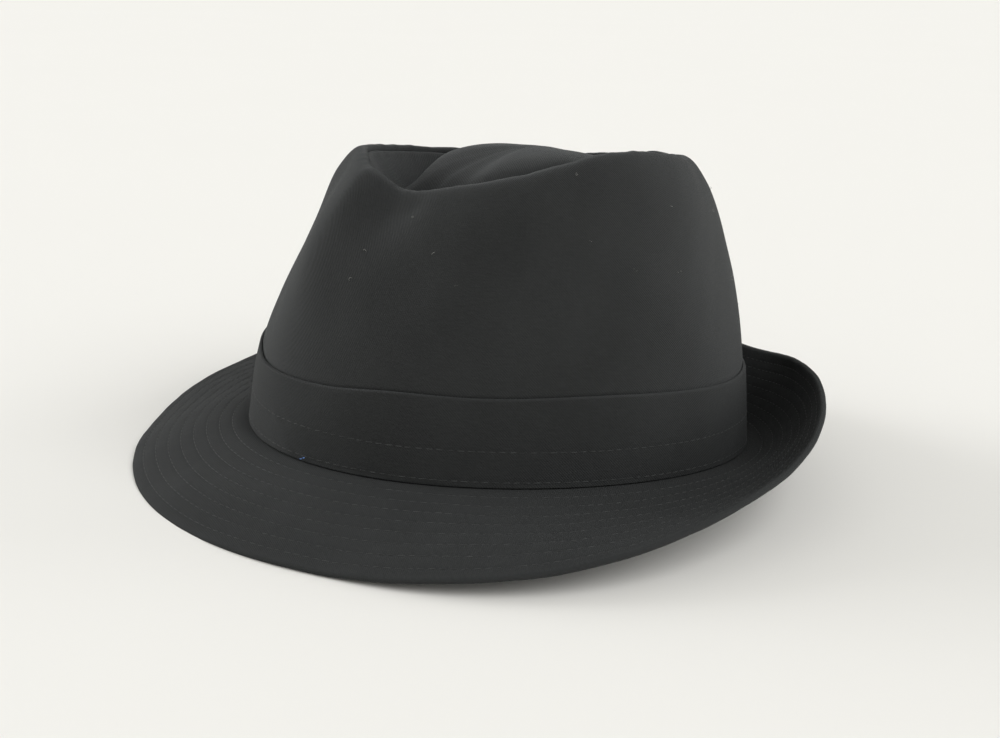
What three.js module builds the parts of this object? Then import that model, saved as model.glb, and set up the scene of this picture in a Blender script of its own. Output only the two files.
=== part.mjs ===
// A trilby of black cotton cloth, standing by itself on a table: a teardrop crown made of a side
// and a tip, a hatband of the same cloth, and a brim that is down in front and turned up behind.
// Millimetres, +Z up, the front of the hat towards -Y, the origin on the table below its middle.

import * as THREE from 'three';

// Driving dimensions
const HEAD_LENGTH = 200;   // inside the crown where it meets the brim, front to back
const HEAD_WIDTH = 168;    // inside the crown where it meets the brim, side to side
const CROWN_HEIGHT = 117;  // from the brim to the highest place of the rim
const CROWN_ARCH = 3.7;    // how much higher the crown's foot is at the sides than in front and behind
const CROWN_WALL = 1.5;
const SEAM_INSET = 4;      // from the rim in to the seam of side and tip, along the cloth
const BAND_HEIGHT = 31;
const BAND_WALL = 1.2;
const BRIM_WIDTH = 47;     // from the band to the edge, along the cloth
const BRIM_WALL = 2.4;
const BRIM_FOLD = 6;       // cloth taken by the bend where the brim leaves the band
const CLEARANCE = 0.3;     // between neighbouring pieces
const REST_PRESS = 1.2;    // how far the brim's cloth gives where it stands on the table

// Number of steps in the surfaces, and in the search for the pitch at which the hat stands
const STEPS_AROUND = 64;
const STEPS_PER_SPAN = 3;
const BRIM_STEPS = 10;
const PITCH_ROUNDS = 12;

// Looks
const CROWN_COLOUR = 0x2b2d2e;
const BAND_COLOUR = 0x272929;
const CLOTH_ROUGHNESS = 0.9;

// The crown's sections, from the front (0 degrees) round to the back (180 degrees).
// Reaches, as shares of the way from the middle of the hat to the foot of the crown:
//   band, waist, shoulder, rim, groove, island.
// Heights, as shares of CROWN_HEIGHT: level is the rim's, and lean is what the rim has more than
// that on the hat's +X side, and less on its other side. A drop is the way down from the rim.
// bandTop is the height of the band's upper edge as a share of BAND_HEIGHT.
const CROWN_SECTIONS = [
  { at: 0, bandTop: 0.87, band: 0.985, waist: 0.87, shoulder: 0.764, shoulderDrop: 0.07, rim: 0.676,
    level: 0.848, lean: 0, groove: 0.51, grooveDrop: 0.14, island: 0.32, islandDrop: 0.004 },
  { at: 18, bandTop: 0.885, band: 0.975, waist: 0.832, shoulder: 0.714, shoulderDrop: 0.07, rim: 0.652,
    level: 0.841, lean: -0.038, groove: 0.51, grooveDrop: 0.12, island: 0.33, islandDrop: -0.008 },
  { at: 36, bandTop: 0.965, band: 0.98, waist: 0.834, shoulder: 0.748, shoulderDrop: 0.07, rim: 0.658,
    level: 0.863, lean: -0.022, groove: 0.51, grooveDrop: 0.13, island: 0.34, islandDrop: -0.01 },
  { at: 55, bandTop: 0.96, band: 0.968, waist: 0.876, shoulder: 0.773, shoulderDrop: 0.075, rim: 0.666,
    level: 0.878, lean: 0, groove: 0.51, grooveDrop: 0.13, island: 0.35, islandDrop: -0.01 },
  { at: 80, bandTop: 1, band: 0.968, waist: 0.885, shoulder: 0.776, shoulderDrop: 0.075, rim: 0.67,
    level: 0.919, lean: 0.048, groove: 0.52, grooveDrop: 0.13, island: 0.36, islandDrop: 0.012 },
  { at: 105, bandTop: 0.98, band: 0.965, waist: 0.878, shoulder: 0.755, shoulderDrop: 0.075, rim: 0.657,
    level: 0.917, lean: 0.056, groove: 0.51, grooveDrop: 0.12, island: 0.36, islandDrop: 0.01 },
  { at: 130, bandTop: 0.955, band: 0.945, waist: 0.834, shoulder: 0.708, shoulderDrop: 0.075, rim: 0.616,
    level: 0.914, lean: 0.04, groove: 0.5, grooveDrop: 0.11, island: 0.35, islandDrop: 0.012 },
  { at: 155, bandTop: 1.01, band: 0.956, waist: 0.862, shoulder: 0.703, shoulderDrop: 0.075, rim: 0.592,
    level: 0.928, lean: 0.02, groove: 0.48, grooveDrop: 0.11, island: 0.33, islandDrop: 0.032 },
  { at: 180, bandTop: 0.99, band: 0.966, waist: 0.875, shoulder: 0.712, shoulderDrop: 0.075, rim: 0.608,
    level: 0.936, lean: 0, groove: 0.48, grooveDrop: 0.11, island: 0.33, islandDrop: 0.043 },
];
const WAIST_SHARE = 0.6;   // the height of every section's waist, as a share of CROWN_HEIGHT
const APEX_SHARE = 0.935;  // the height of the island's middle, as a share of CROWN_HEIGHT
const ISLAND_LEAN = 0.3;   // the share of the rim's lean that the island inside it has

// The brim's sections, from the front round to the back: its width as a share of BRIM_WIDTH, and
// its slope in degrees where it leaves the band and at its edge, up being positive.
const BRIM_SECTIONS = [
  { at: 0, width: 0.935, rise: -22, lip: -33.5 },
  { at: 30, width: 0.96, rise: -18, lip: -29 },
  { at: 60, width: 1.065, rise: -8.5, lip: -15 },
  { at: 90, width: 1, rise: -9, lip: 32 },
  { at: 120, width: 0.92, rise: 16.5, lip: 74.5 },
  { at: 150, width: 0.855, rise: 34.5, lip: 114 },
  { at: 180, width: 0.75, rise: 28, lip: 98 },
];

// Places along a crown section, in the order of its curve
const FOOT = 0;
const BAND_TOP = 1;
const RIM = 4;
const GROOVE = 5;
const APEX = 7;

const CROWN_HALF_WIDTH = HEAD_WIDTH / 2 + CROWN_WALL;
const CROWN_HALF_LENGTH = HEAD_LENGTH / 2 + CROWN_WALL;
const BAND_REACH = CLEARANCE + BAND_WALL;
const UP = new THREE.Vector3(0, 0, 1);
const ACROSS = new THREE.Vector3(1, 0, 0);

const radians = THREE.MathUtils.degToRad;

// One column of a section table at any angle, on a smooth curve through its rows, which are
// mirrored past the front and the back
function column(rows, name, angle) {
  const turn = THREE.MathUtils.euclideanModulo(angle, 360);
  const at = Math.min(turn, 360 - turn);
  const last = rows.length - 1;
  const mirrored = (i) => (i < 0 ? -i : Math.min(i, 2 * last - i));
  const value = (i) => rows[mirrored(i)][name];
  const place = (i) => {
    const own = rows[mirrored(i)].at;
    if (i < 0) return -own;
    return i > last ? 360 - own : own;
  };
  const slope = (i) => {
    const before = place(i) - place(i - 1);
    const after = place(i + 1) - place(i);
    const rising = (value(i) - value(i - 1)) / before;
    const leaving = (value(i + 1) - value(i)) / after;
    return (rising * after + leaving * before) / (before + after);
  };
  const next = rows.findIndex((row) => row.at > at);
  const low = next < 0 ? last - 1 : next - 1;
  const span = place(low + 1) - place(low);
  const t = (at - place(low)) / span;
  return (2 * t ** 3 - 3 * t ** 2 + 1) * value(low)
    + (t ** 3 - 2 * t ** 2 + t) * span * slope(low)
    + (3 * t ** 2 - 2 * t ** 3) * value(low + 1)
    + (t ** 3 - t ** 2) * span * slope(low + 1);
}

// The height of the brim's margin, on which the crown stands
function footHeight(angle) {
  return CROWN_ARCH * Math.sin(radians(angle)) ** 2;
}

// The curve of one crown section, from its foot over the rim and the groove to the apex. It runs on
// past the apex to the far side of the island, so that the top of the island is round.
function crownCurve(angle) {
  const share = (name) => column(CROWN_SECTIONS, name, angle);
  const point = (reach, level, turned = 0) => new THREE.Vector3(
    CROWN_HALF_WIDTH * reach * Math.sin(radians(angle + turned)),
    -CROWN_HALF_LENGTH * reach * Math.cos(radians(angle + turned)),
    level * CROWN_HEIGHT,
  );
  const opposite = (name) => column(CROWN_SECTIONS, name, angle + 180);
  const side = Math.sign(Math.sin(radians(angle)));
  const level = share('level') + side * share('lean');
  const island = share('level') - share('islandDrop') + side * ISLAND_LEAN * share('lean');
  const farIsland = opposite('level') - opposite('islandDrop') - side * ISLAND_LEAN * opposite('lean');
  return new THREE.CatmullRomCurve3([
    point(1, (footHeight(angle) + CLEARANCE) / CROWN_HEIGHT),
    point(share('band'), (footHeight(angle) + BAND_HEIGHT * share('bandTop')) / CROWN_HEIGHT),
    point(share('waist'), WAIST_SHARE),
    point(share('shoulder'), level - share('shoulderDrop')),
    point(share('rim'), level),
    point(share('groove'), level - share('grooveDrop')),
    point(share('island'), island),
    point(0, APEX_SHARE),
    point(opposite('island'), farIsland, 180),
  ], false, 'centripetal');
}

function crownPoint(angle, station) {
  return crownCurve(angle).getPoint(station / (APEX + 1));
}

// The way out of the crown's outer face
function crownNormal(angle, station) {
  if (station >= APEX) return UP.clone();
  const small = 0.01;
  const around = crownPoint(angle + 1, station).sub(crownPoint(angle - 1, station));
  const along = crownPoint(angle, station + small).sub(crownPoint(angle, Math.max(station - small, 0)));
  return around.cross(along).normalize();
}

// A place on the crown, moved out of its face by the distance given, and never into the brim
function crownOffset(angle, station, distance) {
  const place = crownPoint(angle, station).addScaledVector(crownNormal(angle, station), distance);
  place.z = Math.max(place.z, footHeight(angle) + CLEARANCE);
  return place;
}

// Where the seam of side and tip lies on the curve of a crown section, past the rim
function seamStation(angle, inset) {
  const span = crownPoint(angle, RIM).distanceTo(crownPoint(angle, GROOVE));
  return RIM + inset / span;
}

function evenly(from, to, steps) {
  return Array.from({ length: steps + 1 }, (_, i) => from + ((to - from) * i) / steps);
}

// A wall that follows the crown between two faces, as one closed loop of points at each angle
function crownWallLoop(angle, stations, outer, inner) {
  const out = stations.map((station) => crownOffset(angle, station, outer));
  const back = stations.toReversed().map((station) => crownOffset(angle, station, inner));
  return [...out, ...back];
}

function sideLoop(angle) {
  const seam = seamStation(angle, SEAM_INSET - CLEARANCE / 2);
  const stations = [...evenly(FOOT, RIM, RIM * STEPS_PER_SPAN), seam];
  return crownWallLoop(angle, stations, 0, -CROWN_WALL);
}

function bandLoop(angle) {
  const stations = evenly(FOOT, BAND_TOP, STEPS_PER_SPAN);
  return crownWallLoop(angle, stations, BAND_REACH, CLEARANCE);
}

function tipLoop(angle) {
  const seam = seamStation(angle, SEAM_INSET + CLEARANCE / 2);
  const stations = [
    ...evenly(seam, GROOVE, STEPS_PER_SPAN),
    ...evenly(GROOVE, APEX, (APEX - GROOVE) * STEPS_PER_SPAN).slice(1),
  ];
  return crownWallLoop(angle, stations, 0, -CROWN_WALL);
}

// One section of the brim. Its margin lies flat below the crown wall and the band, it bends into
// its slope, and from there the slope turns evenly to that of the edge.
function brimLoop(angle) {
  const u = radians(angle);
  const foot = new THREE.Vector3(
    (CROWN_HALF_WIDTH + BAND_REACH) * Math.sin(u),
    -(CROWN_HALF_LENGTH + BAND_REACH) * Math.cos(u),
    footHeight(angle),
  );
  const outward = new THREE.Vector3(
    (CROWN_HALF_LENGTH + BAND_REACH) * Math.sin(u),
    -(CROWN_HALF_WIDTH + BAND_REACH) * Math.cos(u),
    0,
  ).normalize();
  const rise = radians(column(BRIM_SECTIONS, 'rise', angle));
  const lip = radians(column(BRIM_SECTIONS, 'lip', angle));
  const width = BRIM_WIDTH * column(BRIM_SECTIONS, 'width', angle);
  const slopeAt = (length) => {
    if (length <= BRIM_FOLD) return (rise * Math.max(length, 0)) / BRIM_FOLD;
    return rise + ((lip - rise) * (length - BRIM_FOLD)) / (width - BRIM_FOLD);
  };
  const margin = BAND_REACH + CROWN_WALL;
  const lengths = [-margin, 0, BRIM_FOLD / 2, BRIM_FOLD, ...evenly(BRIM_FOLD, width, BRIM_STEPS).slice(1)];
  const top = [];
  const under = [];
  const place = foot.clone().addScaledVector(outward, -margin);
  lengths.forEach((length, i) => {
    if (i > 0) {
      const step = length - lengths[i - 1];
      const slope = slopeAt((length + lengths[i - 1]) / 2);
      place.addScaledVector(outward, step * Math.cos(slope)).addScaledVector(UP, step * Math.sin(slope));
    }
    const slope = slopeAt(length);
    const down = outward.clone().multiplyScalar(Math.sin(slope)).addScaledVector(UP, -Math.cos(slope));
    top.push(place.clone());
    under.push(place.clone().addScaledVector(down, BRIM_WALL));
  });
  const nose = top.at(-1).clone().add(under.at(-1)).multiplyScalar(0.5)
    .addScaledVector(outward, (BRIM_WALL / 2) * Math.cos(lip))
    .addScaledVector(UP, (BRIM_WALL / 2) * Math.sin(lip));
  return [...under, nose, ...top.reverse()];
}

// A closed solid from the loops of points at even angles. Neighbouring loops are joined by a strip,
// and points that all loops share, as at an apex, are one vertex.
function solidFromLoops(loopAt) {
  const positions = [];
  const indices = [];
  const loops = evenly(0, 360, STEPS_AROUND).slice(0, -1).map(loopAt);
  const count = loops[0].length;
  const shared = loops[0].map((point, k) => point.distanceTo(loops[1][k]) < 1e-6);
  const vertex = loops.map(() => []);
  loops.forEach((loop, i) => loop.forEach((point, k) => {
    if (shared[k] && i > 0) {
      vertex[i][k] = vertex[0][k];
      return;
    }
    vertex[i][k] = positions.length / 3;
    positions.push(point.x, point.y, point.z);
  }));
  const triangle = (a, b, c) => {
    if (a !== b && b !== c && c !== a) indices.push(a, b, c);
  };
  loops.forEach((_, i) => {
    const next = vertex[(i + 1) % loops.length];
    const here = vertex[i];
    for (let k = 0; k < count; k += 1) {
      const l = (k + 1) % count;
      if (shared[k] && shared[l]) continue;
      triangle(here[k], next[k], next[l]);
      triangle(here[k], next[l], here[l]);
    }
  });
  const geometry = new THREE.BufferGeometry();
  geometry.setAttribute('position', new THREE.Float32BufferAttribute(positions, 3));
  geometry.setIndex(indices);
  return geometry;
}

function cloth(name, geometry, colour) {
  geometry.computeVertexNormals();
  const look = { color: colour, roughness: CLOTH_ROUGHNESS, metalness: 0 };
  const mesh = new THREE.Mesh(geometry, new THREE.MeshStandardMaterial(look));
  mesh.name = name;
  return mesh;
}

// The pitch at which the hat stands on the table, on its brim's front edge and on the fold behind:
// the lowest point in front of the middle and the lowest behind it come to one height.
function restPitch(points) {
  let pitch = 0;
  for (let round = 0; round < PITCH_ROUNDS; round += 1) {
    const height = (point) => point.z * Math.cos(pitch) - point.y * Math.sin(pitch);
    const lowest = (end) => points.filter((point) => Math.sign(point.y) === end)
      .reduce((best, point) => (height(point) < height(best) ? point : best));
    const front = lowest(-1);
    const back = lowest(1);
    pitch = Math.atan2(back.z - front.z, back.y - front.y);
  }
  return pitch;
}

// The brim's cloth gives where it would go below the table, and lies flat on it there
function pressed(loop) {
  return loop.map((point) => point.clone().setZ(Math.max(point.z, 0)));
}

// The hat as it is worn is pitched and lowered to the hat as it stands
const brimPoints = evenly(0, 360, STEPS_AROUND).slice(0, -1).flatMap(brimLoop);
const pitch = restPitch(brimPoints);
const pitched = (point) => point.clone().applyAxisAngle(ACROSS, -pitch);
const table = Math.min(...brimPoints.map((point) => pitched(point).z)) + REST_PRESS;
const standing = (point) => pitched(point).addScaledVector(UP, -table);

const hat = new THREE.Group();
hat.add(
  cloth('crown_side', solidFromLoops((angle) => sideLoop(angle).map(standing)), CROWN_COLOUR),
  cloth('crown_tip', solidFromLoops((angle) => tipLoop(angle).map(standing)), CROWN_COLOUR),
  cloth('hatband', solidFromLoops((angle) => bandLoop(angle).map(standing)), BAND_COLOUR),
  cloth('brim', solidFromLoops((angle) => pressed(brimLoop(angle).map(standing))), CROWN_COLOUR),
);
const box = new THREE.Box3().setFromObject(hat);
hat.position.set(-(box.min.x + box.max.x) / 2, -(box.min.y + box.max.y) / 2, 0);

export default hat;
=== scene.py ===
import math

import bpy
import numpy as np
from mathutils import Matrix, Vector


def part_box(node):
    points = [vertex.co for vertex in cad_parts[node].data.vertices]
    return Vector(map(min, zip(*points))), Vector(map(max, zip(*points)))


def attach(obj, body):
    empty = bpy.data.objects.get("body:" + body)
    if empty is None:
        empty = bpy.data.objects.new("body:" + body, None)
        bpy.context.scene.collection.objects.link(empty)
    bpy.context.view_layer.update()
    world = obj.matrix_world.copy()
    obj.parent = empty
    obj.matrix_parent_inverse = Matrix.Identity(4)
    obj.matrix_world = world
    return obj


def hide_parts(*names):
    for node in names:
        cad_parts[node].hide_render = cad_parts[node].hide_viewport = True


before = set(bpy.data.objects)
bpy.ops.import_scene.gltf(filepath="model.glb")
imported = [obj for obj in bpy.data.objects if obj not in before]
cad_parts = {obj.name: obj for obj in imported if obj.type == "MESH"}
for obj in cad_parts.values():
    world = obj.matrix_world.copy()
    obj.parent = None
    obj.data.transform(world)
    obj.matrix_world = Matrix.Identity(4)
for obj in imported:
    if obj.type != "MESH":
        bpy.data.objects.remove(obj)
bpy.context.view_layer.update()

# Driving dimensions in millimetres, the same as the solids'
HEAD_LENGTH = 200
HEAD_WIDTH = 168
CROWN_HEIGHT = 117
CROWN_ARCH = 3.7
CROWN_WALL = 1.5
SEAM_INSET = 4
BAND_HEIGHT = 31
BAND_WALL = 1.2
BRIM_WIDTH = 47
BRIM_WALL = 2.4
BRIM_FOLD = 6
CLEARANCE = 0.3
REST_PRESS = 1.2

HALF_WIDTH = HEAD_WIDTH / 2 + CROWN_WALL
HALF_LENGTH = HEAD_LENGTH / 2 + CROWN_WALL
BAND_REACH = CLEARANCE + BAND_WALL
MM = 0.001
UP = np.array([0.0, 0.0, 1.0])

# The crown's sections, from the front (0 degrees) round to the back (180 degrees), as shares of
# its foot's reach, of CROWN_HEIGHT and, for band_top, of BAND_HEIGHT
CROWN_COLUMNS = ("at", "band_top", "band", "waist", "shoulder", "shoulder_drop", "rim",
                 "level", "lean", "groove", "groove_drop", "island", "island_drop")
CROWN_ROWS = (
    (0, 0.870, 0.985, 0.870, 0.764, 0.070, 0.676, 0.848, 0.000, 0.51, 0.14, 0.32, 0.004),
    (18, 0.885, 0.975, 0.832, 0.714, 0.070, 0.652, 0.841, -0.038, 0.51, 0.12, 0.33, -0.008),
    (36, 0.965, 0.980, 0.834, 0.748, 0.070, 0.658, 0.863, -0.022, 0.51, 0.13, 0.34, -0.010),
    (55, 0.960, 0.968, 0.876, 0.773, 0.075, 0.666, 0.878, 0.000, 0.51, 0.13, 0.35, -0.010),
    (80, 1.000, 0.968, 0.885, 0.776, 0.075, 0.670, 0.919, 0.048, 0.52, 0.13, 0.36, 0.012),
    (105, 0.980, 0.965, 0.878, 0.755, 0.075, 0.657, 0.917, 0.056, 0.51, 0.12, 0.36, 0.010),
    (130, 0.955, 0.945, 0.834, 0.708, 0.075, 0.616, 0.914, 0.040, 0.50, 0.11, 0.35, 0.012),
    (155, 1.010, 0.956, 0.862, 0.703, 0.075, 0.592, 0.928, 0.020, 0.48, 0.11, 0.33, 0.032),
    (180, 0.990, 0.966, 0.875, 0.712, 0.075, 0.608, 0.936, 0.000, 0.48, 0.11, 0.33, 0.043),
)
WAIST_SHARE = 0.6
APEX_SHARE = 0.935
ISLAND_LEAN = 0.3

# The brim's sections: its width as a share of BRIM_WIDTH, and its slope in degrees where it
# leaves the band and at its edge
BRIM_COLUMNS = ("at", "width", "rise", "lip")
BRIM_ROWS = (
    (0, 0.935, -22, -33.5),
    (30, 0.96, -18, -29),
    (60, 1.065, -8.5, -15),
    (90, 1, -9, 32),
    (120, 0.92, 16.5, 74.5),
    (150, 0.855, 34.5, 114),
    (180, 0.75, 28, 98),
)

# Places along a crown section, which its stations count from the foot to the apex
FOOT, BAND_TOP, RIM, GROOVE, APEX = 0, 1, 4, 5, 7

# Sewing, in millimetres
BRIM_STITCH_ROWS = 8
FIRST_ROW = 5.5             # from the band to the first row of topstitching
LAST_ROW = 3.6              # from the last row to the edge
BAND_ROWS = (2.0, 12.6)     # from the band's lower edge
BRIM_ROW_DEPTH = 0.17       # how deep a row of stitches draws the brim in
BAND_ROW_DEPTH = 0.102      # and the band
ROW_SPREAD = 0.75
PUCKER_SPREAD = 3 * ROW_SPREAD
THREAD = 0.26               # diameter
THREAD_SIDES = 6
STITCH_PITCH = 3.5
STITCH_LENGTH = 2.8
STITCH_SHARES = (0.92, 1.05)    # the shortest and the longest stitch, as shares of that
STITCH_STRAY = 0.06             # how far stitches stray along their row
STITCH_SLANT = (0.035, 0.03)    # how far they slant across it on average, and how unevenly
STITCH_REACH = 0.5              # how far to each side a row's own way is taken over

# A stitch from end to end: the place along its half length, the height over the cloth in
# millimetres, and the thickness as a share of the thread's
STITCH_SHAPE = (
    (-1.00, -0.22, 0.35),
    (-0.86, -0.05, 0.80),
    (-0.50, 0.05, 1.00),
    (0.00, 0.08, 1.05),
    (0.50, 0.05, 1.00),
    (0.86, -0.05, 0.80),
    (1.00, -0.22, 0.35),
)
STITCH_ALONG, STITCH_HEIGHT, STITCH_THICKNESS = np.array(STITCH_SHAPE).T

# The band's cloth, in millimetres
BAND_CLOTH = 0.8            # its thickness where it is drawn tight
BAND_CLOTH_GAP = 0.12       # the air behind it
BAND_CLOTH_PRESS = 0.25     # how far its face is drawn in at most

# Creases and hollows of the crown: angle, station, spread in degrees and in stations, depth
CREASES = (
    (150, 3.55, 2.2, 0.30, -0.9),
    (154, 3.45, 3.0, 0.35, 0.5),
    (26, 3.2, 3.2, 0.30, -0.3),
    (30, 3.1, 4.0, 0.36, 0.2),
    (118, 2.2, 14.0, 0.70, -0.6),
    (62, 2.6, 16.0, 0.60, 0.5),
)

# Unevenness of the cloth: seed, size of its waves in millimetres, and how strong they are, in
# millimetres or, for wear and for the band's roll, as a share
WAVES = {
    "side_slack": (3, 60, 0.5),
    "side_ripple": (4, 17, 0.10),
    "side_pucker": (5, 7.5, 0.12),
    "side_wear": (6, 22, 0.25),
    "tip_slack": (13, 38, 0.10),
    "tip_ripple": (14, 13, 0.03),
    "tip_pucker": (15, 7.5, 0.12),
    "band_slack": (23, 34, 0.16),
    "band_pucker": (24, 8, 0.07),
    "band_roll": (25, 26, 0.5),
    "brim_slack": (33, 62, 0.38),
    "brim_ripple": (34, 22, 0.10),
    "brim_pucker": (35, 9, 0.03),
    "brim_wear": (36, 30, 1),
}
WAVE_COUNT = 14
WAVE_SHARES = (0.7, 1.6)    # the shortest and the longest wave, as shares of the size
SIDE_RING, BAND_RING = 80, 90   # radius of the rings that waves round the hat are laid along
SIDE_SLANT = (0.35, 0.5)        # how they slant with the height
BAND_SLACK_SLANT = (1, 0.4)
BAND_PUCKER_SLANT = (0, 1)
SEAM_PUCKER_STRETCH = 0.2
SIDE_FADE = 20              # how far above the band the side hangs free
BRIM_TAUT = 4               # how far from the band the brim is held flat
BRIM_FADE = 12
APEX_FADE = 0.2             # in stations

# Soft ridges, grooves and rubbed lines along a seam, an edge or a station: how far from it they
# lie and how wide they are, in millimetres where nothing else is said, and how strong, in
# millimetres or, for puckers, wear and the edge's groove, as a share
RIDGES = {
    "side_welt": (1.5, 0.9, 0.45),
    "side_seam": (0, 0.5, -0.54),
    "side_pucker": (2.2, 1.8, 1),
    "side_seam_wear": (1.6, 1.1, 0.55),
    "rim_wear": (0, 0.12, 0.18),            # in stations
    "band_groove": (0.010, 0.018, -0.5),    # in stations
    "tip_welt": (1.2, 0.8, 0.315),
    "tip_seam": (0, 0.5, -0.4095),
    "tip_pucker": (0, 4, 1),
    "tip_seam_wear": (1.3, 0.9, 0.4),
    "band_roll": (0, 2.2, 0.05),
    "band_top_wear": (0, 0.9, 0.05),
    "band_foot_wear": (0, 0.8, 0.2),
    "brim_edge_wear": (0, 1.2, 0.35),
    "edge_groove": (0, 0.22, -0.16),        # in radians round the edge
}
BRIM_NOSE_WEAR = 0.5
BRIM_RUB = 0.10
SIDE_WEAR_MEAN = 0.75

# Steps in the surfaces
AROUND = 640
WALL_STRETCHES = (          # first station, last station and how many, close at the band's top
    (FOOT, 0.95, 16),
    (BAND_TOP - 0.03, BAND_TOP + 0.06, 10),
    (1.11, RIM, 47),
)
RIM_STEPS = 12
WALL_BACK_STEPS = 32
RIM_BACK_STEPS = 4
GROOVE_STEPS, APEX_STEPS = 20, 40
GROOVE_BACK_STEPS, APEX_BACK_STEPS = 6, 18
BAND_FACE_STEPS = 45
BAND_BACK_STEPS = 13
FOLD_STEPS = 4              # in a quarter turn of the band's folded edges
NOSE_STEPS = 10             # round the brim's edge
ROW_STEPS = (-1.6, -0.9, -0.45, 0, 0.45, 0.9, 1.6)                      # across a row of stitches
BRIM_FOOT_STEPS = (-BAND_REACH - CROWN_WALL, -0.8, 0.4, 1.6, 2.8)       # from the band
BRIM_EDGE_STEPS = (1.2, 0.5, 0.0)                                       # from the edge
LEAST_LENGTH = 1e-9         # under which a normal counts as none

# The pose, whose loops are as many as the solids have, so that the hat stands as they do
POSE_LOOPS = 64
POSE_STEPS = 10
POSE_ROUNDS = 12
BOX_STEPS = 40

# For the weave and the puckers, the cloth is laid flat along these girths
CROWN_GIRTH = 2 * math.pi * 90
BAND_GIRTH = 2 * math.pi * 95

# Dye, weave and wear of the cloth
CLOTH_TINT = (0.95, 1.0, 1.01)
TWILL = 3200.0              # threads to a metre of cloth
RIB_THREADS = 3             # threads from one rib to the next
RIB_WANDER = 1.6            # in radians
RIB_HEIGHT, THREAD_HEIGHT, FLUFF_HEIGHT = 0.6, 0.5, 1.1
PATCH_SHARE, STREAK_SHARE, GRAIN_SHARE = 0.34, 0.26, 0.4
CLOTH_DYE = (0.72, 1.34)    # the darkest and the palest, as shares of the cloth's level
THREAD_DYE = (0.6, 1.5)
WORN_LEVEL = 0.040
SLUB_STRETCH = (1.0, 9.0, 1.0)  # makes the streaks long and thin
THREAD_TWIST = 40.0         # radians along a stitch

# Lint, in millimetres
LINT_RADIUS = 0.07
LINT_AWAY = 0.5             # from the crown's section to the middle of a fibre
LINT_HALF_LENGTHS = (0.3, 1.0)
LINT_CURL = 0.5
LINT_BENDS = 6
LINT_SIDES = 3
LINT_TURNS = (0, 180)       # degrees round the crown
LINT_STATIONS = (1.5, 3.4)
DEGREE_LENGTH = 1.4         # of a degree round the crown, nearly
STATION_LENGTH = 28         # of a station up its side
NEXT_STATION = 0.01

# The camera, found by laying the solids over the photograph
VIEW_AZIMUTH = 57.0         # degrees round from the front
VIEW_ELEVATION = 16.25
VIEW_ROLL = 1.97
VIEW_DISTANCE = 0.545       # metres, as the next two are
AIM_RIGHT = 0.0052
AIM_UP = 0.0313
FOCAL_PX = 1376.8           # in the photograph's pixels
PHOTO_WIDTH = 1000
SENSOR = 36.0               # millimetres
CLIP_START = 0.01

# The studio, in metres
FLOOR_RADIUS = 40.0
FLOOR_SIDES = 96
FLOOR_COLOURS = ((0.810, 0.804, 0.778, 1), (0.820, 0.814, 0.788, 1))
SKY_COLOUR = (0.905, 0.896, 0.863, 1.0)
LIGHTS = (                  # name, azimuth, elevation and spread in degrees, strength
    ("key", 112, 48, 50, 1.4),
    ("left_rim", -68, 7, 30, 0.9),
    ("left_fill", -50, 20, 30, 1.0),
    ("right_rim", 165, 9, 30, 0.9),
)


# Sections
def column(columns, rows, name, angle):
    """One column of a table at any angles, on a smooth curve through its mirrored rows."""
    at = np.array([row[0] for row in rows], float)
    value = np.array([row[columns.index(name)] for row in rows], float)
    at = np.concatenate([[-at[1]], at, [360 - at[-2]]])
    value = np.concatenate([[value[1]], value, [value[-2]]])
    steps = np.diff(at)
    slopes = np.diff(value) / steps
    before, after = steps[:-1], steps[1:]
    slope = np.concatenate([[0], (slopes[:-1] * after + slopes[1:] * before) / (before + after), [0]])
    turn = np.mod(np.asarray(angle, float), 360)
    place = np.minimum(turn, 360 - turn)
    low = np.clip(np.searchsorted(at, place, side="right") - 1, 1, len(at) - 3)
    high = low + 1
    span = at[high] - at[low]
    t = (place - at[low]) / span
    return ((2 * t ** 3 - 3 * t ** 2 + 1) * value[low] + (t ** 3 - 2 * t ** 2 + t) * span * slope[low]
            + (3 * t ** 2 - 2 * t ** 3) * value[high] + (t ** 3 - t ** 2) * span * slope[high])


def crown_share(name, angle):
    return column(CROWN_COLUMNS, CROWN_ROWS, name, angle)


def foot_height(angle):
    return CROWN_ARCH * np.sin(np.radians(angle)) ** 2


def crown_controls(angle):
    """The points that each crown section's curve runs through, one row of points for each angle."""
    u = np.radians(angle)

    def point(reach, level, turn=1):
        reach = np.broadcast_to(reach, u.shape) * turn
        return np.stack([HALF_WIDTH * reach * np.sin(u), -HALF_LENGTH * reach * np.cos(u),
                         np.broadcast_to(level, u.shape) * CROWN_HEIGHT], -1)

    side = np.sign(np.sin(u))
    opposite = angle + 180
    lean = side * crown_share("lean", angle)
    far_lean = side * crown_share("lean", opposite)
    level = crown_share("level", angle) + lean
    island = crown_share("level", angle) - crown_share("island_drop", angle) + ISLAND_LEAN * lean
    far_island = (crown_share("level", opposite) - crown_share("island_drop", opposite)
                  - ISLAND_LEAN * far_lean)
    foot = foot_height(angle)
    return np.stack([
        point(1, (foot + CLEARANCE) / CROWN_HEIGHT),
        point(crown_share("band", angle),
              (foot + BAND_HEIGHT * crown_share("band_top", angle)) / CROWN_HEIGHT),
        point(crown_share("waist", angle), WAIST_SHARE),
        point(crown_share("shoulder", angle), level - crown_share("shoulder_drop", angle)),
        point(crown_share("rim", angle), level),
        point(crown_share("groove", angle), level - crown_share("groove_drop", angle)),
        point(crown_share("island", angle), island),
        point(0, APEX_SHARE),
        point(crown_share("island", opposite), far_island, -1),
    ], 1)


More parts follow.
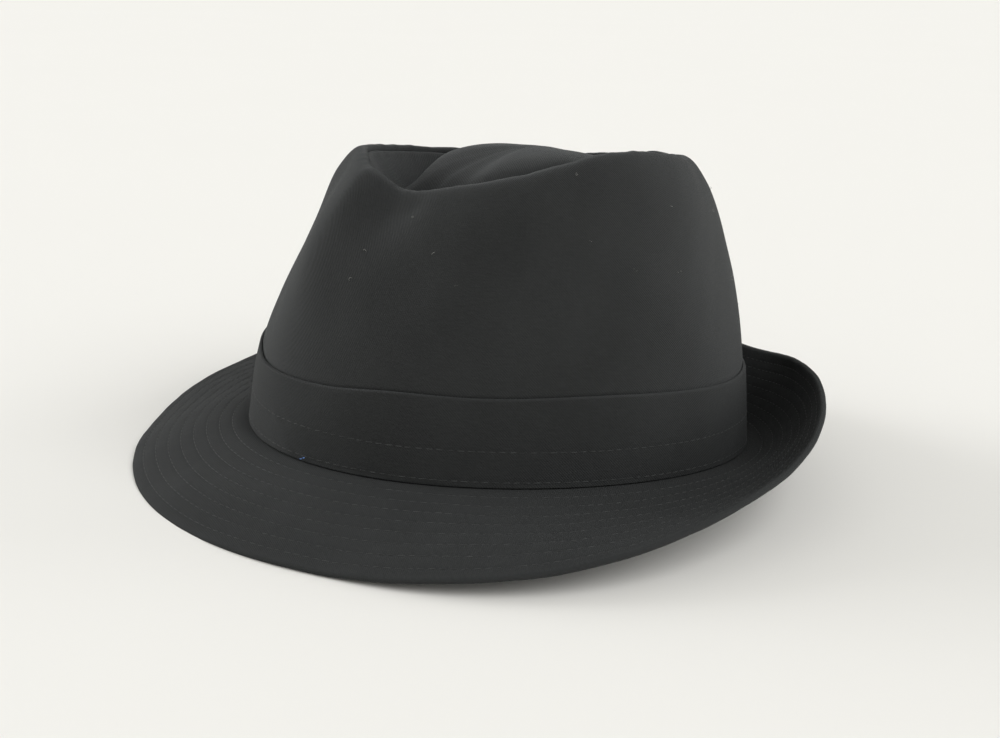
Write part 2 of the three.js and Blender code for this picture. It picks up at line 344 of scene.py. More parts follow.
def spline(controls, station):
    """The centripetal Catmull-Rom curves through each row of controls, at a grid of stations."""
    first = 2 * controls[:, :1] - controls[:, 1:2]
    last = 2 * controls[:, -1:] - controls[:, -2:-1]
    points = np.concatenate([first, controls, last], 1)
    low = np.clip(np.floor(station).astype(int), 0, controls.shape[1] - 2)
    t = (station - low)[..., None]
    rows = np.arange(len(controls))[:, None]
    p0, p1, p2, p3 = (points[rows, low + k] for k in range(4))
    d0, d1, d2 = (np.linalg.norm(b - a, axis=-1)[..., None] ** 0.5
                  for a, b in ((p0, p1), (p1, p2), (p2, p3)))
    m1 = ((p1 - p0) / d0 - (p2 - p0) / (d0 + d1) + (p2 - p1) / d1) * d1
    m2 = ((p2 - p1) / d1 - (p3 - p1) / (d1 + d2) + (p3 - p2) / d2) * d1
    return (p1 + m1 * t + (-3 * p1 + 3 * p2 - 2 * m1 - m2) * t ** 2
            + (2 * p1 - 2 * p2 + m1 + m2) * t ** 3)


def around_angles(count=AROUND):
    return np.arange(count) * 360.0 / count


def grid_normals(grid):
    """The normals of a closed ring of section curves, outward on the crown."""
    around = np.roll(grid, -1, 0) - np.roll(grid, 1, 0)
    along = np.gradient(grid, axis=1)
    normal = np.cross(around, along)
    length = np.linalg.norm(normal, axis=-1, keepdims=True)
    return np.where(length > LEAST_LENGTH, normal / np.maximum(length, LEAST_LENGTH), UP)


def seam_station(angle, inset):
    """The station of the crown's seam, so far inside the rim, in a column."""
    controls = crown_controls(angle)
    span = np.linalg.norm(controls[:, RIM] - controls[:, GROOVE], axis=-1)
    return (RIM + inset / span)[:, None]


def crown_offset(angle, stations, distance):
    """Points on the crown, moved out of its face by the distances given, never into the brim."""
    grid = spline(crown_controls(angle), stations)
    grid = grid + grid_normals(grid) * np.broadcast_to(distance, stations.shape)[..., None]
    grid[..., 2] = np.maximum(grid[..., 2], (foot_height(angle) + CLEARANCE)[:, None])
    return grid


def brim_width(angle):
    """The brim's width from the band to its edge, in a column."""
    return BRIM_WIDTH * column(BRIM_COLUMNS, BRIM_ROWS, "width", angle)[:, None]


def brim_slope(angle, length):
    """The brim's slope in radians at lengths from the band, after a short bend beside it."""
    rise = np.radians(column(BRIM_COLUMNS, BRIM_ROWS, "rise", angle))[:, None]
    lip = np.radians(column(BRIM_COLUMNS, BRIM_ROWS, "lip", angle))[:, None]
    bend = rise * np.clip(length, 0, None) / BRIM_FOLD
    curl = rise + (lip - rise) * (length - BRIM_FOLD) / (brim_width(angle) - BRIM_FOLD)
    return np.where(length <= BRIM_FOLD, bend, curl)


def brim_frame(angle):
    """The foot of each brim section and the way outward from it."""
    u = np.radians(angle)
    wide, long = HALF_WIDTH + BAND_REACH, HALF_LENGTH + BAND_REACH
    foot = np.stack([wide * np.sin(u), -long * np.cos(u), foot_height(angle)], -1)
    outward = np.stack([long * np.sin(u), -wide * np.cos(u), 0 * u], -1)
    return foot, outward / np.linalg.norm(outward, axis=-1, keepdims=True)


def brim_top(angle, lengths):
    """Points of the brim's upper face at lengths from the band, and the normals there."""
    foot, outward = brim_frame(angle)
    slope = brim_slope(angle, (lengths[:, 1:] + lengths[:, :-1]) / 2)
    step = np.diff(lengths, axis=1)
    out = np.concatenate([lengths[:, :1], lengths[:, :1] + np.cumsum(step * np.cos(slope), 1)], 1)
    rise = np.concatenate([0 * lengths[:, :1], np.cumsum(step * np.sin(slope), 1)], 1)
    grid = foot[:, None] + outward[:, None] * out[..., None] + UP * rise[..., None]
    own = brim_slope(angle, lengths)[..., None]
    return grid, UP * np.cos(own) - outward[:, None] * np.sin(own)


def edge_way(angle):
    """The way in which each brim section runs on past its edge."""
    slope = brim_slope(angle, brim_width(angle))
    return brim_frame(angle)[1] * np.cos(slope) + UP * np.sin(slope)


# The pose in which the hat stands
def pitched(points, pitch):
    """Points turned about the X axis, the hat's front up and its back down."""
    x, y, z = points[..., 0], points[..., 1], points[..., 2]
    return np.stack([x, y * math.cos(pitch) + z * math.sin(pitch),
                     z * math.cos(pitch) - y * math.sin(pitch)], -1)


def solid_brim_points():
    """The brim's loops with the steps of the solids, for the pose and the place alone."""
    angle = around_angles(POSE_LOOPS)
    shares = np.linspace(0, 1, POSE_STEPS + 1)[1:]
    start = np.broadcast_to([BRIM_FOOT_STEPS[0], 0, BRIM_FOLD / 2, BRIM_FOLD], (len(angle), 4))
    lengths = np.concatenate([start, BRIM_FOLD + (brim_width(angle) - BRIM_FOLD) * shares], 1)
    top, normal = brim_top(angle, lengths)
    return np.concatenate([top, top - normal * BRIM_WALL], 1)


def rest_pose():
    """The pitch at which the brim's front and back are level, and the table's height there."""
    points = solid_brim_points().reshape(-1, 3)
    pitch = 0.0
    for _ in range(POSE_ROUNDS):
        height = pitched(points, pitch)[:, 2]
        ends = []
        for end in (-1, 1):
            half = points[:, 1] * end > 0
            ends.append(points[half][np.argmin(height[half])])
        pitch = math.atan2(ends[1][2] - ends[0][2], ends[1][1] - ends[0][1])
    return pitch, pitched(points, pitch)[:, 2].min() + REST_PRESS


REST_PITCH, TABLE = rest_pose()


def worn_box():
    """The box of the pitched brim, with the round nose of its edge."""
    angle = around_angles(POSE_LOOPS)
    top, normal = brim_top(angle, brim_width(angle) * np.linspace(0, 1, BOX_STEPS + 1))
    nose = top[:, -1] + (edge_way(angle) - normal[:, -1]) * BRIM_WALL / 2
    every = np.concatenate([top, top - normal * BRIM_WALL, nose[:, None]], 1)
    every = pitched(every.reshape(-1, 3), REST_PITCH)
    return every.min(0), every.max(0)


SOLID_LOW, SOLID_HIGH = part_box("brim")
WORN_LOW, WORN_HIGH = worn_box()
SHIFT_Y = (SOLID_LOW.y + SOLID_HIGH.y) / (2 * MM) - (WORN_LOW[1] + WORN_HIGH[1]) / 2


def standing(points):
    """Points of the hat as it is worn, in millimetres, put in the frame, in metres."""
    stood = pitched(points, REST_PITCH)
    stood[..., 2] = np.maximum(stood[..., 2] - TABLE, 0)
    stood[..., 1] += SHIFT_Y
    return stood * MM


# Unevenness of the cloth
def waves(name, u, v):
    """A row of WAVES: a smooth, seeded unevenness over places given in millimetres."""
    seed, size, amount = WAVES[name]
    rng = np.random.default_rng(seed)
    total = np.zeros(np.broadcast(u, v).shape)
    for _ in range(WAVE_COUNT):
        way = rng.uniform(0, 2 * math.pi)
        wave = 2 * math.pi / (size * rng.uniform(*WAVE_SHARES))
        total += np.sin((u * math.cos(way) + v * math.sin(way)) * wave + rng.uniform(0, 2 * math.pi))
    return amount * (total / math.sqrt(WAVE_COUNT))


def ring_waves(name, angle, radius, height=0, slant=(0, 0)):
    """Waves that close round the hat, slanted with the height where one is given."""
    ring = np.radians(angle)[:, None]
    return waves(name, radius * np.cos(ring) + slant[0] * height,
                 radius * np.sin(ring) + slant[1] * height)


def bell(distance, width):
    return np.exp(-(distance / width) ** 2)


def ridge(name, distance):
    """A row of RIDGES, at distances from the seam, edge or station that it follows."""
    place, width, amount = RIDGES[name]
    return amount * bell(distance - place, width)


def fade_in(value, start, length):
    return np.clip((value - start) / length, 0, 1)


def row_relief(length, rows, spread_out=ROW_SPREAD):
    """How far the rows of stitches draw the cloth in, at lengths across them, as a share."""
    return sum(bell(length - row, spread_out) for row in rows)


def dents(angle, stations):
    """Small creases and hollows of the crown, each a soft dip or rise at a place on the side."""
    total = np.zeros(stations.shape)
    for at, station, wide, high, depth in CREASES:
        turn = (angle[:, None] - at + 180) % 360 - 180
        total += depth * bell(turn, wide) * bell(stations - station, high)
    return total


# Meshes
def add_object(name, data):
    made = bpy.data.objects.new(name, data)
    bpy.context.scene.collection.objects.link(made)
    return made


def lay_flat(mesh, places):
    """Keep each corner's place on the flat cloth in the mesh, for the weave."""
    layer = mesh.uv_layers.new(name="cloth")
    layer.data.foreach_set("uv", np.array(places, float).ravel())


def cells(near):
    """The four corners of each cell between a ring of loops, given with the first one repeated."""
    far = near[1:]
    near = near[:-1]
    return np.stack([near, far, np.roll(far, -1, 1), np.roll(near, -1, 1)], 2)


def ring_mesh(name, loops, flat, wear, collapse=()):
    """A closed piece from a ring of closed loops. flat holds the cloth's own flat places, in
    millimetres, and wear how worn it is. A column given in collapse is one point for all loops."""
    count, size = loops.shape[:2]
    index = np.arange(count * size).reshape(count, size)
    for k in collapse:
        index[:, k] = index[0, k]
    quads = cells(np.concatenate([index, index[:1]])).reshape(-1, 4)
    places = cells(flat).reshape(-1, 4, 2) * MM
    repeats = quads == np.roll(quads, -1, 1)
    faces, corners = [], []
    for quad, place, repeated in zip(quads.tolist(), places.tolist(), repeats.tolist()):
        keep = [k for k in range(4) if not repeated[k]]
        if len(keep) > 2:
            faces.append([quad[k] for k in keep])
            corners.extend(place[k] for k in keep)
    used = np.unique(np.concatenate([np.array(face) for face in faces]))
    renamed = np.full(count * size, -1)
    renamed[used] = np.arange(len(used))
    mesh = bpy.data.meshes.new(name)
    mesh.from_pydata(standing(loops.reshape(-1, 3))[used].tolist(), [],
                     [renamed[face].tolist() for face in faces])
    lay_flat(mesh, corners)
    attribute = mesh.attributes.new("wear", "FLOAT", "POINT")
    attribute.data.foreach_set("value", np.clip(wear, 0, 1).reshape(-1)[used].astype(np.float32))
    mesh.shade_smooth()
    return add_object(name, mesh)


def strip_flat(loops, girth):
    """The cloth's flat places where it was cut as a strip: along the girth, and up the section."""
    steps = np.linalg.norm(np.diff(loops, axis=1), axis=-1)
    up = np.concatenate([np.zeros((len(loops), 1)), np.cumsum(steps, 1)], 1)
    up = np.concatenate([up, up[:1]])
    along = np.arange(len(loops) + 1)[:, None] / len(loops) * girth
    return np.stack([np.broadcast_to(along, up.shape), up], -1)


def plane_flat(places):
    """The cloth's flat places where it was cut as a flat piece."""
    return np.concatenate([places, places[:1]])[..., :2]


def shell(outer, inner, outer_wear):
    """The closed loops of a wall of cloth, from its two faces, and its wear on the outer one."""
    loops = np.concatenate([outer, inner[:, ::-1]], 1)
    return loops, np.concatenate([outer_wear, np.zeros(inner.shape[:2])], 1)


def threads_mesh(name, cores, across, upward, radii, sides):
    """Short closed threads in one mesh, along rows of points, with each corner's place round and
    along its thread."""
    turn = np.arange(sides) * 2 * math.pi / sides
    verts = (cores[:, :, None] + upward[:, :, None] * (radii[:, None] * np.sin(turn))[..., None]
             + across[:, :, None] * (radii[:, None] * np.cos(turn))[..., None])
    last = len(radii) - 1
    faces, corners = [], []
    for ring in range(last):
        for side in range(sides):
            quad = [(ring, side), (ring, side + 1), (ring + 1, side + 1), (ring + 1, side)]
            faces.append([r * sides + s % sides for r, s in quad])
            corners += [(r / last, s / sides) for r, s in quad]
    ring = list(range(sides))
    faces += [ring[::-1], [last * sides + side for side in ring]]
    corners += [(0.0, 0.0)] * (2 * sides)
    size = len(radii) * sides
    every = [[start + k for k in face] for start in range(0, len(cores) * size, size) for face in faces]
    mesh = bpy.data.meshes.new(name)
    mesh.from_pydata(standing(verts.reshape(-1, 3)).tolist(), [], every)
    mesh.shade_smooth()
    return add_object(name, mesh), corners * len(cores)


# Materials
def node(tree, kind, **settings):
    made = tree.nodes.new(kind)
    for name, value in settings.items():
        setattr(made, name, value)
    return made


def feed(tree, socket, value):
    """Give a socket a link where the value is another socket, and the value itself otherwise."""
    if isinstance(value, bpy.types.NodeSocket):
        tree.links.new(value, socket)
    else:
        socket.default_value = value


def set_inputs(tree, made, values):
    for name, value in values.items():
        feed(tree, made.inputs[name], value)


def maths(tree, operation, *values):
    made = node(tree, "ShaderNodeMath", operation=operation)
    for socket, value in zip(made.inputs, values):
        feed(tree, socket, value)
    return made.outputs[0]


def plus(tree, first, second):
    return maths(tree, "ADD", first, second)


def times(tree, first, second):
    return maths(tree, "MULTIPLY", first, second)


def sine(tree, value):
    return maths(tree, "SINE", value)


def mix_colours(tree, share, first, second):
    made = node(tree, "ShaderNodeMix", data_type="RGBA")
    colours_in = [socket for socket in made.inputs if socket.type == "RGBA"]
    for socket, value in zip((made.inputs["Factor"], *colours_in), (share, first, second)):
        feed(tree, socket, value)
    return next(socket for socket in made.outputs if socket.type == "RGBA")


def noise(tree, place, scale, detail=3.0):
    made = node(tree, "ShaderNodeTexNoise")
    set_inputs(tree, made, {"Scale": scale, "Detail": detail, "Vector": place})
    return made.outputs["Fac"]


def spread(tree, value, low, high, to_low=0.0, to_high=1.0):
    made = node(tree, "ShaderNodeMapRange")
    set_inputs(tree, made, {"Value": value, "From Min": low, "From Max": high,
                            "To Min": to_low, "To Max": to_high})
    return made.outputs[0]


def bump(tree, height, strength, distance):
    made = node(tree, "ShaderNodeBump")
    set_inputs(tree, made, {"Strength": strength, "Distance": distance, "Height": height})
    return made.outputs[0]


def object_place(tree):
    return node(tree, "ShaderNodeTexCoord").outputs["Object"]


def flat_place(tree):
    """A place on the flat cloth, whole and as its two lengths."""
    flat = node(tree, "ShaderNodeUVMap", uv_map="cloth").outputs["UV"]
    split = node(tree, "ShaderNodeSeparateXYZ")
    tree.links.new(flat, split.inputs[0])
    return flat, split.outputs["X"], split.outputs["Y"]


def new_material(name):
    material = bpy.data.materials.new(name)
    material.use_nodes = True
    return material, material.node_tree, material.node_tree.nodes["Principled BSDF"]


def tinted(level):
    return tuple(level * share for share in CLOTH_TINT) + (1.0,)


def dyed(tree, share, level, dye):
    """A colour between the darkest and the palest dye of a cloth or a thread."""
    darkest, palest = dye
    return mix_colours(tree, share, tinted(level * darkest), tinted(level * palest))


def cloth_material(name, level, sheen, specular):
    """Black cotton twill: diagonal ribs, uneven dye, fluff, and worn folds."""
    material, tree, shader = new_material(name)
    place = object_place(tree)
    flat, along, up = flat_place(tree)
    warp, weft = times(tree, along, TWILL), times(tree, up, TWILL)

    # Ribs of the twill, and the single threads across them
    wander = times(tree, noise(tree, flat, scale=260.0, detail=2.0), RIB_WANDER)
    ribs = sine(tree, plus(tree, times(tree, plus(tree, warp, weft), 2 * math.pi / RIB_THREADS), wander))
    threads = maths(tree, "ABSOLUTE", sine(tree, times(tree, weft, math.pi)))
    weave = plus(tree, times(tree, ribs, RIB_HEIGHT), times(tree, threads, THREAD_HEIGHT))

    # Uneven dye in soft patches and in single threads
    patches = spread(tree, noise(tree, place, scale=26.0, detail=4.0), low=0.32, high=0.68)
    slubs = node(tree, "ShaderNodeMapping")
    set_inputs(tree, slubs, {"Scale": SLUB_STRETCH, "Vector": flat})
    streaks = spread(tree, noise(tree, slubs.outputs[0], scale=220.0, detail=3.0), low=0.35, high=0.7)
    grain = spread(tree, noise(tree, flat, scale=1400.0, detail=2.0), low=0.3, high=0.72)
    dye = plus(tree, times(tree, patches, PATCH_SHARE), times(tree, streaks, STREAK_SHARE))
    dye = plus(tree, dye, times(tree, grain, GRAIN_SHARE))
    colour = dyed(tree, dye, level, CLOTH_DYE)

    # Folds and edges rub pale, most where the grain is pale already
    wear = node(tree, "ShaderNodeAttribute", attribute_name="wear").outputs["Fac"]
    rubbed = times(tree, wear, spread(tree, grain, 0.0, 1.0, to_low=0.45, to_high=1.0))

    fluff = times(tree, noise(tree, flat, scale=700.0, detail=4.0), FLUFF_HEIGHT)
    set_inputs(tree, shader, {
        "Base Color": mix_colours(tree, rubbed, colour, tinted(WORN_LEVEL)),
        "Roughness": spread(tree, grain, 0.0, 1.0, to_low=0.82, to_high=0.98),
        "Specular IOR Level": specular,
        "Sheen Weight": sheen,
        "Sheen Roughness": 0.45,
        "Sheen Tint": (0.72, 0.76, 0.78, 1.0),
        "Normal": bump(tree, plus(tree, weave, fluff), strength=0.55, distance=0.00022),
    })
    return material


def thread_material(name, level):
    """Black sewing thread, a little smoother and paler than the cloth, with its twist."""
    material, tree, shader = new_material(name)
    _, along, round_it = flat_place(tree)
    twist = sine(tree, plus(tree, times(tree, along, THREAD_TWIST), times(tree, round_it, 2 * math.pi)))
    share = spread(tree, noise(tree, object_place(tree), scale=420.0, detail=2.0), low=0.35, high=0.65)
    set_inputs(tree, shader, {
        "Base Color": dyed(tree, share, level, THREAD_DYE),
        "Roughness": spread(tree, share, 0.0, 1.0, to_low=0.65, to_high=0.85),
        "Specular IOR Level": 0.2,
        "Sheen Weight": 0.1,
        "Normal": bump(tree, twist, strength=0.5, distance=0.00006),
    })
    return material


def fibre_material(name, colour):
    """A fibre of lint, with darker spots."""
    material, tree, shader = new_material(name)
    spots = noise(tree, object_place(tree), scale=900.0, detail=2.0)
    dark = tuple(c / 2 for c in colour)
    set_inputs(tree, shader, {
        "Base Color": mix_colours(tree, spots, (*dark, 1.0), (*colour, 1.0)),
        "Roughness": 0.9,
    })
    return material


def paper_material(name):
    """The floor's dull, nearly even paper."""
    material, tree, shader = new_material(name)
    set_inputs(tree, shader, {
        "Base Color": mix_colours(tree, noise(tree, object_place(tree), scale=3.0), *FLOOR_COLOURS),
        "Roughness": 1.0,
        "Specular IOR Level": 0.0,
    })
    return material


def finish_piece(piece, material, slot, *replaced):
    piece.data.materials.append(material)
    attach(piece, "root")
    if replaced:
        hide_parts(*replaced)


# Pieces
def side_stations(seam, wall, rim_steps):
    """Stations up the crown's wall, and from the rim in so many steps to the seam."""
    over = RIM + (seam - RIM) * np.linspace(0, 1, rim_steps + 1)[1:]
    return np.concatenate([np.broadcast_to(wall, (AROUND, len(wall))), over], 1)


def crown_side(material):
    """The wall of the crown, over the rim to the seam, with a small welt at the seam and a groove
    where the tight band draws it in."""
    angle = around_angles()
    seam = seam_station(angle, SEAM_INSET - CLEARANCE / 2)
    wall = np.concatenate([np.linspace(*stretch) for stretch in WALL_STRETCHES])
    stations = side_stations(seam, wall, RIM_STEPS)
    flat = strip_flat(crown_offset(angle, stations, 0), CROWN_GIRTH)[:-1]
    u, v = flat[..., 0], flat[..., 1]
    to_seam = v[:, -1:] - v
    slack = (ring_waves("side_slack", angle, SIDE_RING, v, SIDE_SLANT)
             + ring_waves("side_ripple", angle, SIDE_RING, v, SIDE_SLANT))
    lift = fade_in(v, BAND_HEIGHT, SIDE_FADE) * slack + dents(angle, stations)
    lift += ridge("side_welt", to_seam) + ridge("side_seam", to_seam)
    lift += ridge("band_groove", stations - BAND_TOP)
    lift += waves("side_pucker", u, SEAM_PUCKER_STRETCH * v) * ridge("side_pucker", to_seam)
    wear = ridge("side_seam_wear", to_seam) + ridge("rim_wear", stations - RIM)
    wear *= SIDE_WEAR_MEAN + waves("side_wear", u, v)
    back = side_stations(seam, np.linspace(FOOT, RIM, WALL_BACK_STEPS + 1), RIM_BACK_STEPS)
    loops, wear = shell(crown_offset(angle, stations, lift), crown_offset(angle, back, -CROWN_WALL), wear)
    piece = ring_mesh("crown_side_cloth", loops, strip_flat(loops, CROWN_GIRTH), wear)
    finish_piece(piece, material, "crown_cloth", "crown_side")


def tip_stations(seam, groove_steps, apex_steps):
    """Stations from the seam down to the groove, and on over the island to the apex."""
    down = seam + (GROOVE - seam) * np.linspace(0, 1, groove_steps + 1)
    over = np.linspace(GROOVE, APEX, apex_steps + 1)[1:]
    return np.concatenate([down, np.broadcast_to(over, (AROUND, apex_steps))], 1)


def crown_tip(material):
    """The top of the crown, from the seam down into the groove and up over the island."""
    angle = around_angles()
    seam = seam_station(angle, SEAM_INSET + CLEARANCE / 2)
    stations = tip_stations(seam, GROOVE_STEPS, APEX_STEPS)
    taut = crown_offset(angle, stations, 0)
    from_seam = strip_flat(taut, CROWN_GIRTH)[:-1, :, 1]
    x, y = taut[..., 0], taut[..., 1]
    lift = waves("tip_slack", x, y) + waves("tip_ripple", x, y)
    lift += ridge("tip_welt", from_seam) + ridge("tip_seam", from_seam)
    lift *= fade_in(APEX - stations, 0, APEX_FADE)
    lift += waves("tip_pucker", x, y) * ridge("tip_pucker", from_seam)
    lift[:, -1] = 0
    back = tip_stations(seam, GROOVE_BACK_STEPS, APEX_BACK_STEPS)
    loops, wear = shell(crown_offset(angle, stations, lift), crown_offset(angle, back, -CROWN_WALL),
                        ridge("tip_seam_wear", from_seam))
    apex = stations.shape[1]
    piece = ring_mesh("crown_tip_cloth", loops, plane_flat(loops), wear, collapse=(apex - 1, apex))
    finish_piece(piece, material, "crown_cloth", "crown_tip")


def band_profile(angle):
    """The band's section as heights above its lower edge and offsets from the crown, with a
    rounded fold above and below, and which of its points are the outer face."""
    length = (BAND_HEIGHT * crown_share("band_top", angle))[:, None]
    fold = BAND_CLOTH / 2
    middle = BAND_CLOTH_GAP + fold
    quarter = np.linspace(-90, 0, FOLD_STEPS + 1)
    half = np.linspace(0, 180, 2 * FOLD_STEPS + 1)

    def arc(degrees, height):
        turn = np.radians(degrees)
        return height + fold * np.sin(turn), middle + fold * np.cos(turn) + 0 * length

    def face(steps, offset):
        height = fold + (length - 2 * fold) * np.linspace(0, 1, steps + 1)[1:-1]
        return height, offset + 0 * height

    back_height, back_offset = face(BAND_BACK_STEPS, middle - fold)
    parts = (arc(quarter, fold), face(BAND_FACE_STEPS, middle + fold), arc(half, length - fold),
             (back_height[:, ::-1], back_offset), arc(quarter + 270, fold))
    height = np.concatenate([part[0] + 0 * length for part in parts], 1)
    offset = np.concatenate([part[1] for part in parts], 1)
    return length, height, offset, slice(len(quarter), len(quarter) + BAND_FACE_STEPS - 1)


def hatband(material):
    """The band, with its edges folded in and two rows of stitches that draw it in."""
    angle = around_angles()
    length, height, offset, face = band_profile(angle)
    outside = offset > BAND_CLOTH_GAP + BAND_CLOTH / 2
    to_top = length - height
    rows = height[:, face]
    puckers = ring_waves("band_pucker", angle, BAND_RING, rows, BAND_PUCKER_SLANT)
    lift = np.zeros_like(height)
    lift[:, face] = ring_waves("band_slack", angle, BAND_RING, rows, BAND_SLACK_SLANT)
    lift[:, face] -= BAND_ROW_DEPTH * row_relief(rows, BAND_ROWS)
    lift[:, face] += puckers * row_relief(rows, BAND_ROWS, PUCKER_SPREAD)
    lift += ridge("band_roll", to_top) * outside * (1 + ring_waves("band_roll", angle, BAND_RING))
    lift = offset + np.maximum(lift, -BAND_CLOTH_PRESS)
    loops = crown_offset(angle, BAND_TOP * height / length, lift)
    wear = ridge("band_top_wear", to_top) * outside + ridge("band_foot_wear", height)
    piece = ring_mesh("hatband_cloth", loops, strip_flat(loops, BAND_GIRTH), wear)
    finish_piece(piece, material, "band_cloth", "hatband")
    return [band_path(loops, height, face, row) for row in BAND_ROWS]


def band_path(loops, height, face, row):
    """The points of a row of stitches on the band's face, so high, and the normals there."""
    section = np.arange(AROUND)
    below = np.argmin(np.abs(height[:, face] - row), 1) + face.start
    low, high = height[section, below], height[section, below + 1]
    start, end = loops[section, below], loops[section, below + 1]
    share = ((row - low) / (high - low))[:, None]
    return start + (end - start) * share, grid_normals(loops)[section, below]


def brim_lengths(angle):
    """Lengths from the band with the steps close together at each row of stitches, and the rows."""
    width = brim_width(angle)
    rows = FIRST_ROW + (width - FIRST_ROW - LAST_ROW) * np.linspace(0, 1, BRIM_STITCH_ROWS)
    close = (rows[:, :, None] + np.array(ROW_STEPS)).reshape(AROUND, -1)
    start = np.broadcast_to(BRIM_FOOT_STEPS, (AROUND, len(BRIM_FOOT_STEPS)))
    return np.concatenate([start, close, width - np.array(BRIM_EDGE_STEPS)], 1), rows


def brim(material):
    """The stiffened brim: two layers of cloth sewn together in rows, with a turned edge."""
    angle = around_angles()
    lengths, rows = brim_lengths(angle)
    top, normal = brim_top(angle, lengths)
    foot, outward = brim_frame(angle)
    cut = (foot[:, None] + outward[:, None] * lengths[..., None])[..., :2]
    x, y = cut[..., 0], cut[..., 1]
    sway = waves("brim_slack", x, y) + waves("brim_ripple", x, y) + waves("brim_pucker", x, y)
    sway *= fade_in(lengths, BRIM_TAUT, BRIM_FADE)
    relief = BRIM_ROW_DEPTH * row_relief(lengths, rows.T[..., None])
    upper = top + normal * (sway - relief)[..., None]
    lower = top + normal * (sway - BRIM_WALL + relief)[..., None]

    # The turned edge, with the line where its two layers meet
    turn = np.radians(np.linspace(-90, 90, NOSE_STEPS + 1)[1:-1])
    radius = BRIM_WALL / 2 * (1 + ridge("edge_groove", turn))
    way = edge_way(angle)[:, None]
    nose = ((upper[:, -1:] + lower[:, -1:]) / 2 + normal[:, -1:] * (radius * np.sin(turn))[:, None]
            + way * (radius * np.cos(turn))[:, None])
    loops = np.concatenate([lower, nose, upper[:, ::-1]], 1)
    edge = cut[:, -1:] + way[..., :2] * BRIM_WALL * (1 - np.abs(turn))[:, None]
    flat = np.concatenate([-cut, edge, cut[:, ::-1]], 1)

    edge_wear = ridge("brim_edge_wear", lengths[:, -1:] - lengths)
    top_wear = edge_wear + BRIM_RUB * np.clip(waves("brim_wear", x, y), 0, 1)
    wear = np.concatenate([edge_wear, np.full(nose.shape[:2], BRIM_NOSE_WEAR), top_wear[:, ::-1]], 1)
    piece = ring_mesh("brim_cloth", loops, plane_flat(flat), wear)
    finish_piece(piece, material, "brim_cloth", "brim")
    stitched = [np.argmin(np.abs(lengths[0] - row)) for row in rows[0]]
    return ([(upper[:, k], normal[:, k]) for k in stitched],
            [(lower[:, k], -normal[:, k]) for k in stitched])


def unit(ways):
    return ways / np.linalg.norm(ways, axis=-1, keepdims=True)


def stitch_row(points, normals, rng):
    """Each stitch of a row: its points, and the ways across it and up from the cloth."""
    closed = np.concatenate([points, points[:1]])
    run = np.concatenate([[0], np.cumsum(np.linalg.norm(np.diff(closed, axis=0), axis=1))])
    count = int(round(run[-1] / STITCH_PITCH))
    middle = (np.arange(count) + rng.uniform(0, 1)) / count % 1.0 * run[-1]
    middle = middle + rng.normal(0, STITCH_STRAY, count)

    def at(values, where):
        ring = np.concatenate([values, values[:1]])
        return np.stack([np.interp(where % run[-1], run, ring[:, k]) for k in range(3)], -1)

    ahead = unit(at(points, middle + STITCH_REACH) - at(points, middle - STITCH_REACH))
    normal = at(normals, middle)
    normal = unit(normal - ahead * np.sum(normal * ahead, 1, keepdims=True))
    across = np.cross(normal, ahead)
    ahead = ahead + across * rng.normal(*STITCH_SLANT, count)[:, None]
    half = STITCH_LENGTH / 2 * rng.uniform(*STITCH_SHARES, count)
    core = (at(points, middle)[:, None] + ahead[:, None] * (half[:, None] * STITCH_ALONG)[..., None]
            + normal[:, None] * STITCH_HEIGHT[:, None])
    return core, across[:, None], normal[:, None]


def stitches(name, paths, material, slot, seed):
    """Rows of stitches, each a short thread whose ends go down into the cloth."""
    rng = np.random.default_rng(seed)
    rows = [stitch_row(points, normals, rng) for points, normals in paths]
    cores, across, upward = (np.concatenate(parts) for parts in zip(*rows))
    radii = STITCH_THICKNESS * THREAD / 2
    piece, corners = threads_mesh(name, cores, across, upward, radii, THREAD_SIDES)
    lay_flat(piece.data, corners)
    finish_piece(piece, material, slot)


def lint(name, colour, count, seed, spots=(), away=LINT_AWAY, radius=LINT_RADIUS):
    """Fibres of lint lying on the crown's side, or on the band, further away from its section:
    short bent threads at seeded or given places."""
    rng = np.random.default_rng(seed)
    places = list(spots)
    while len(places) < count:
        places.append((rng.uniform(*LINT_TURNS), rng.uniform(*LINT_STATIONS)))
    bend = np.linspace(-1, 1, LINT_BENDS)
    cores = []
    for angle, station in places:
        half = rng.uniform(*LINT_HALF_LENGTHS)
        way = rng.uniform(0, 2 * math.pi)
        curl = rng.uniform(-LINT_CURL, LINT_CURL) * bend ** 2
        around = angle + half * (bend * math.cos(way) + curl * math.sin(way)) / DEGREE_LENGTH
        along = station + half * (bend * math.sin(way) - curl * math.cos(way)) / STATION_LENGTH
        cores.append(crown_offset(around, np.stack([along, along + NEXT_STATION], 1), away)[:, 0])
    cores = np.array(cores)
    ahead = unit(np.gradient(cores, axis=1))
    across = unit(np.cross(ahead, UP))
    piece, _ = threads_mesh(name, cores, across, np.cross(ahead, across),
                            np.full(LINT_BENDS, radius), LINT_SIDES)
    finish_piece(piece, fibre_material(name + "_fibre", colour), "crown_cloth")


# Studio
def pale_floor():
    """A plain pale floor, far wider than the picture."""
    turns = [2 * math.pi * i / FLOOR_SIDES for i in range(FLOOR_SIDES)]
    verts = [(FLOOR_RADIUS * math.cos(turn), FLOOR_RADIUS * math.sin(turn), 0.0) for turn in turns]
    mesh = bpy.data.meshes.new("floor")
    mesh.from_pydata(verts, [], [list(range(FLOOR_SIDES))])
    mesh.materials.append(paper_material("floor_paper"))
    floor = add_object("floor", mesh)


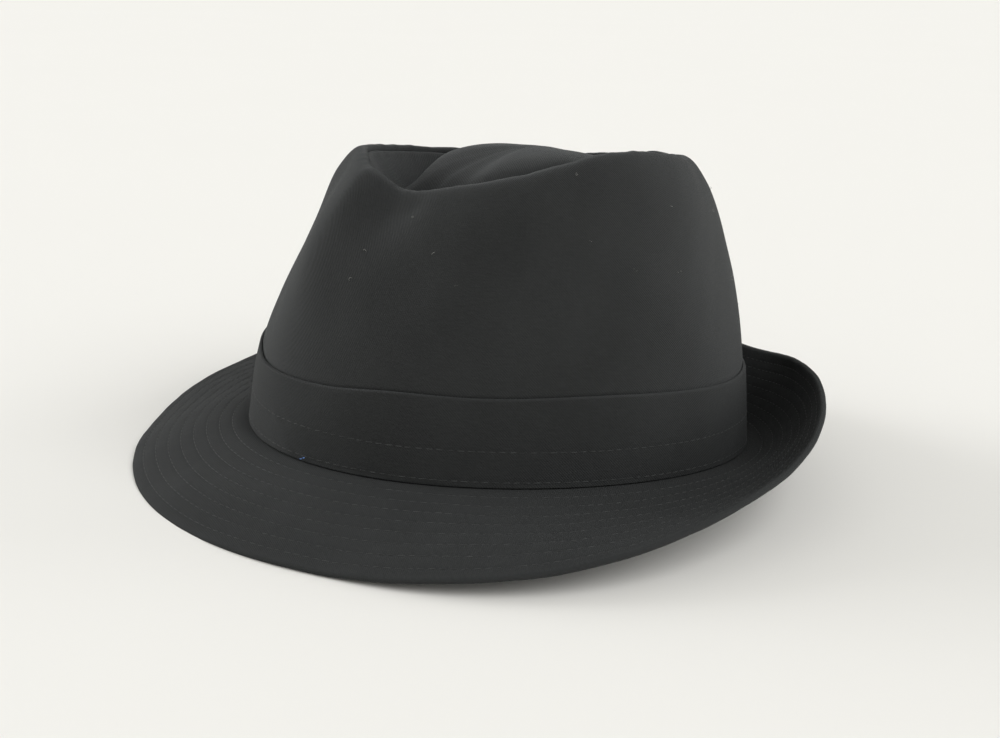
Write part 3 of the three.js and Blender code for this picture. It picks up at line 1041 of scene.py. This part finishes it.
def pale_sky():
    """An even pale sky, dimmer overhead."""
    world = bpy.data.worlds.new("studio")
    world.use_nodes = True
    sky = world.node_tree
    split = node(sky, "ShaderNodeSeparateXYZ")
    sky.links.new(node(sky, "ShaderNodeTexCoord").outputs["Generated"], split.inputs[0])
    strength = spread(sky, split.outputs["Z"], low=0.3, high=0.9, to_low=1.0, to_high=0.45)
    set_inputs(sky, sky.nodes["Background"], {"Color": SKY_COLOUR, "Strength": strength})
    bpy.context.scene.world = world


def way_to(azimuth, elevation):
    """The way from the hat to a place round it, in degrees from the front and from the floor."""
    a, e = math.radians(azimuth), math.radians(elevation)
    return Vector((math.sin(a) * math.cos(e), -math.cos(a) * math.cos(e), math.sin(e)))


def soft_light(name, azimuth, elevation, spread_degrees, strength):
    """A broad light from far away, so that the floor is lit evenly."""
    light = bpy.data.lights.new(name, "SUN")
    light.angle = math.radians(spread_degrees)
    light.energy = strength
    add_object(name, light).rotation_euler = way_to(azimuth, elevation).to_track_quat("Z", "Y").to_euler()


def camera():
    """The photograph's view of the hat."""
    back = way_to(VIEW_AZIMUTH, VIEW_ELEVATION)
    right = way_to(VIEW_AZIMUTH + 90, 0)
    up = back.cross(right)
    place = right * AIM_RIGHT + up * AIM_UP + back * VIEW_DISTANCE
    lens = bpy.data.cameras.new("photo_view")
    lens.sensor_width = SENSOR
    lens.lens = FOCAL_PX * SENSOR / PHOTO_WIDTH
    lens.clip_start = CLIP_START
    eye = add_object("photo_view", lens)
    roll = Matrix.Rotation(math.radians(VIEW_ROLL), 4, "Z")
    eye.matrix_world = Matrix.Translation(place) @ Matrix((right, up, back)).transposed().to_4x4() @ roll
    bpy.context.scene.camera = eye


crown_cloth = cloth_material("crown_twill", level=0.0235, sheen=0.13, specular=0.16)
band_cloth = cloth_material("band_twill", level=0.0235, sheen=0.09, specular=0.14)
brim_cloth = cloth_material("brim_twill", level=0.0285, sheen=0.04, specular=0.10)
thread = thread_material("black_thread", level=0.040)

crown_side(crown_cloth)
crown_tip(crown_cloth)
band_paths = hatband(band_cloth)
upper_paths, lower_paths = brim(brim_cloth)
stitches("band_stitches", band_paths, thread, "band_cloth", seed=41)
stitches("brim_stitches_top", upper_paths, thread, "brim_cloth", seed=42)
stitches("brim_stitches_under", lower_paths, thread, "brim_cloth", seed=43)
lint("lint_pale", colour=(0.35, 0.35, 0.33), count=18, seed=51)
lint("lint_blue", colour=(0.22, 0.42, 0.95), count=1, seed=52, spots=((15.9, 0.04),), away=1.8, radius=0.2)

pale_floor()
pale_sky()
for light in LIGHTS:
    soft_light(*light)
camera()
bpy.context.scene.view_settings.view_transform = "Standard"
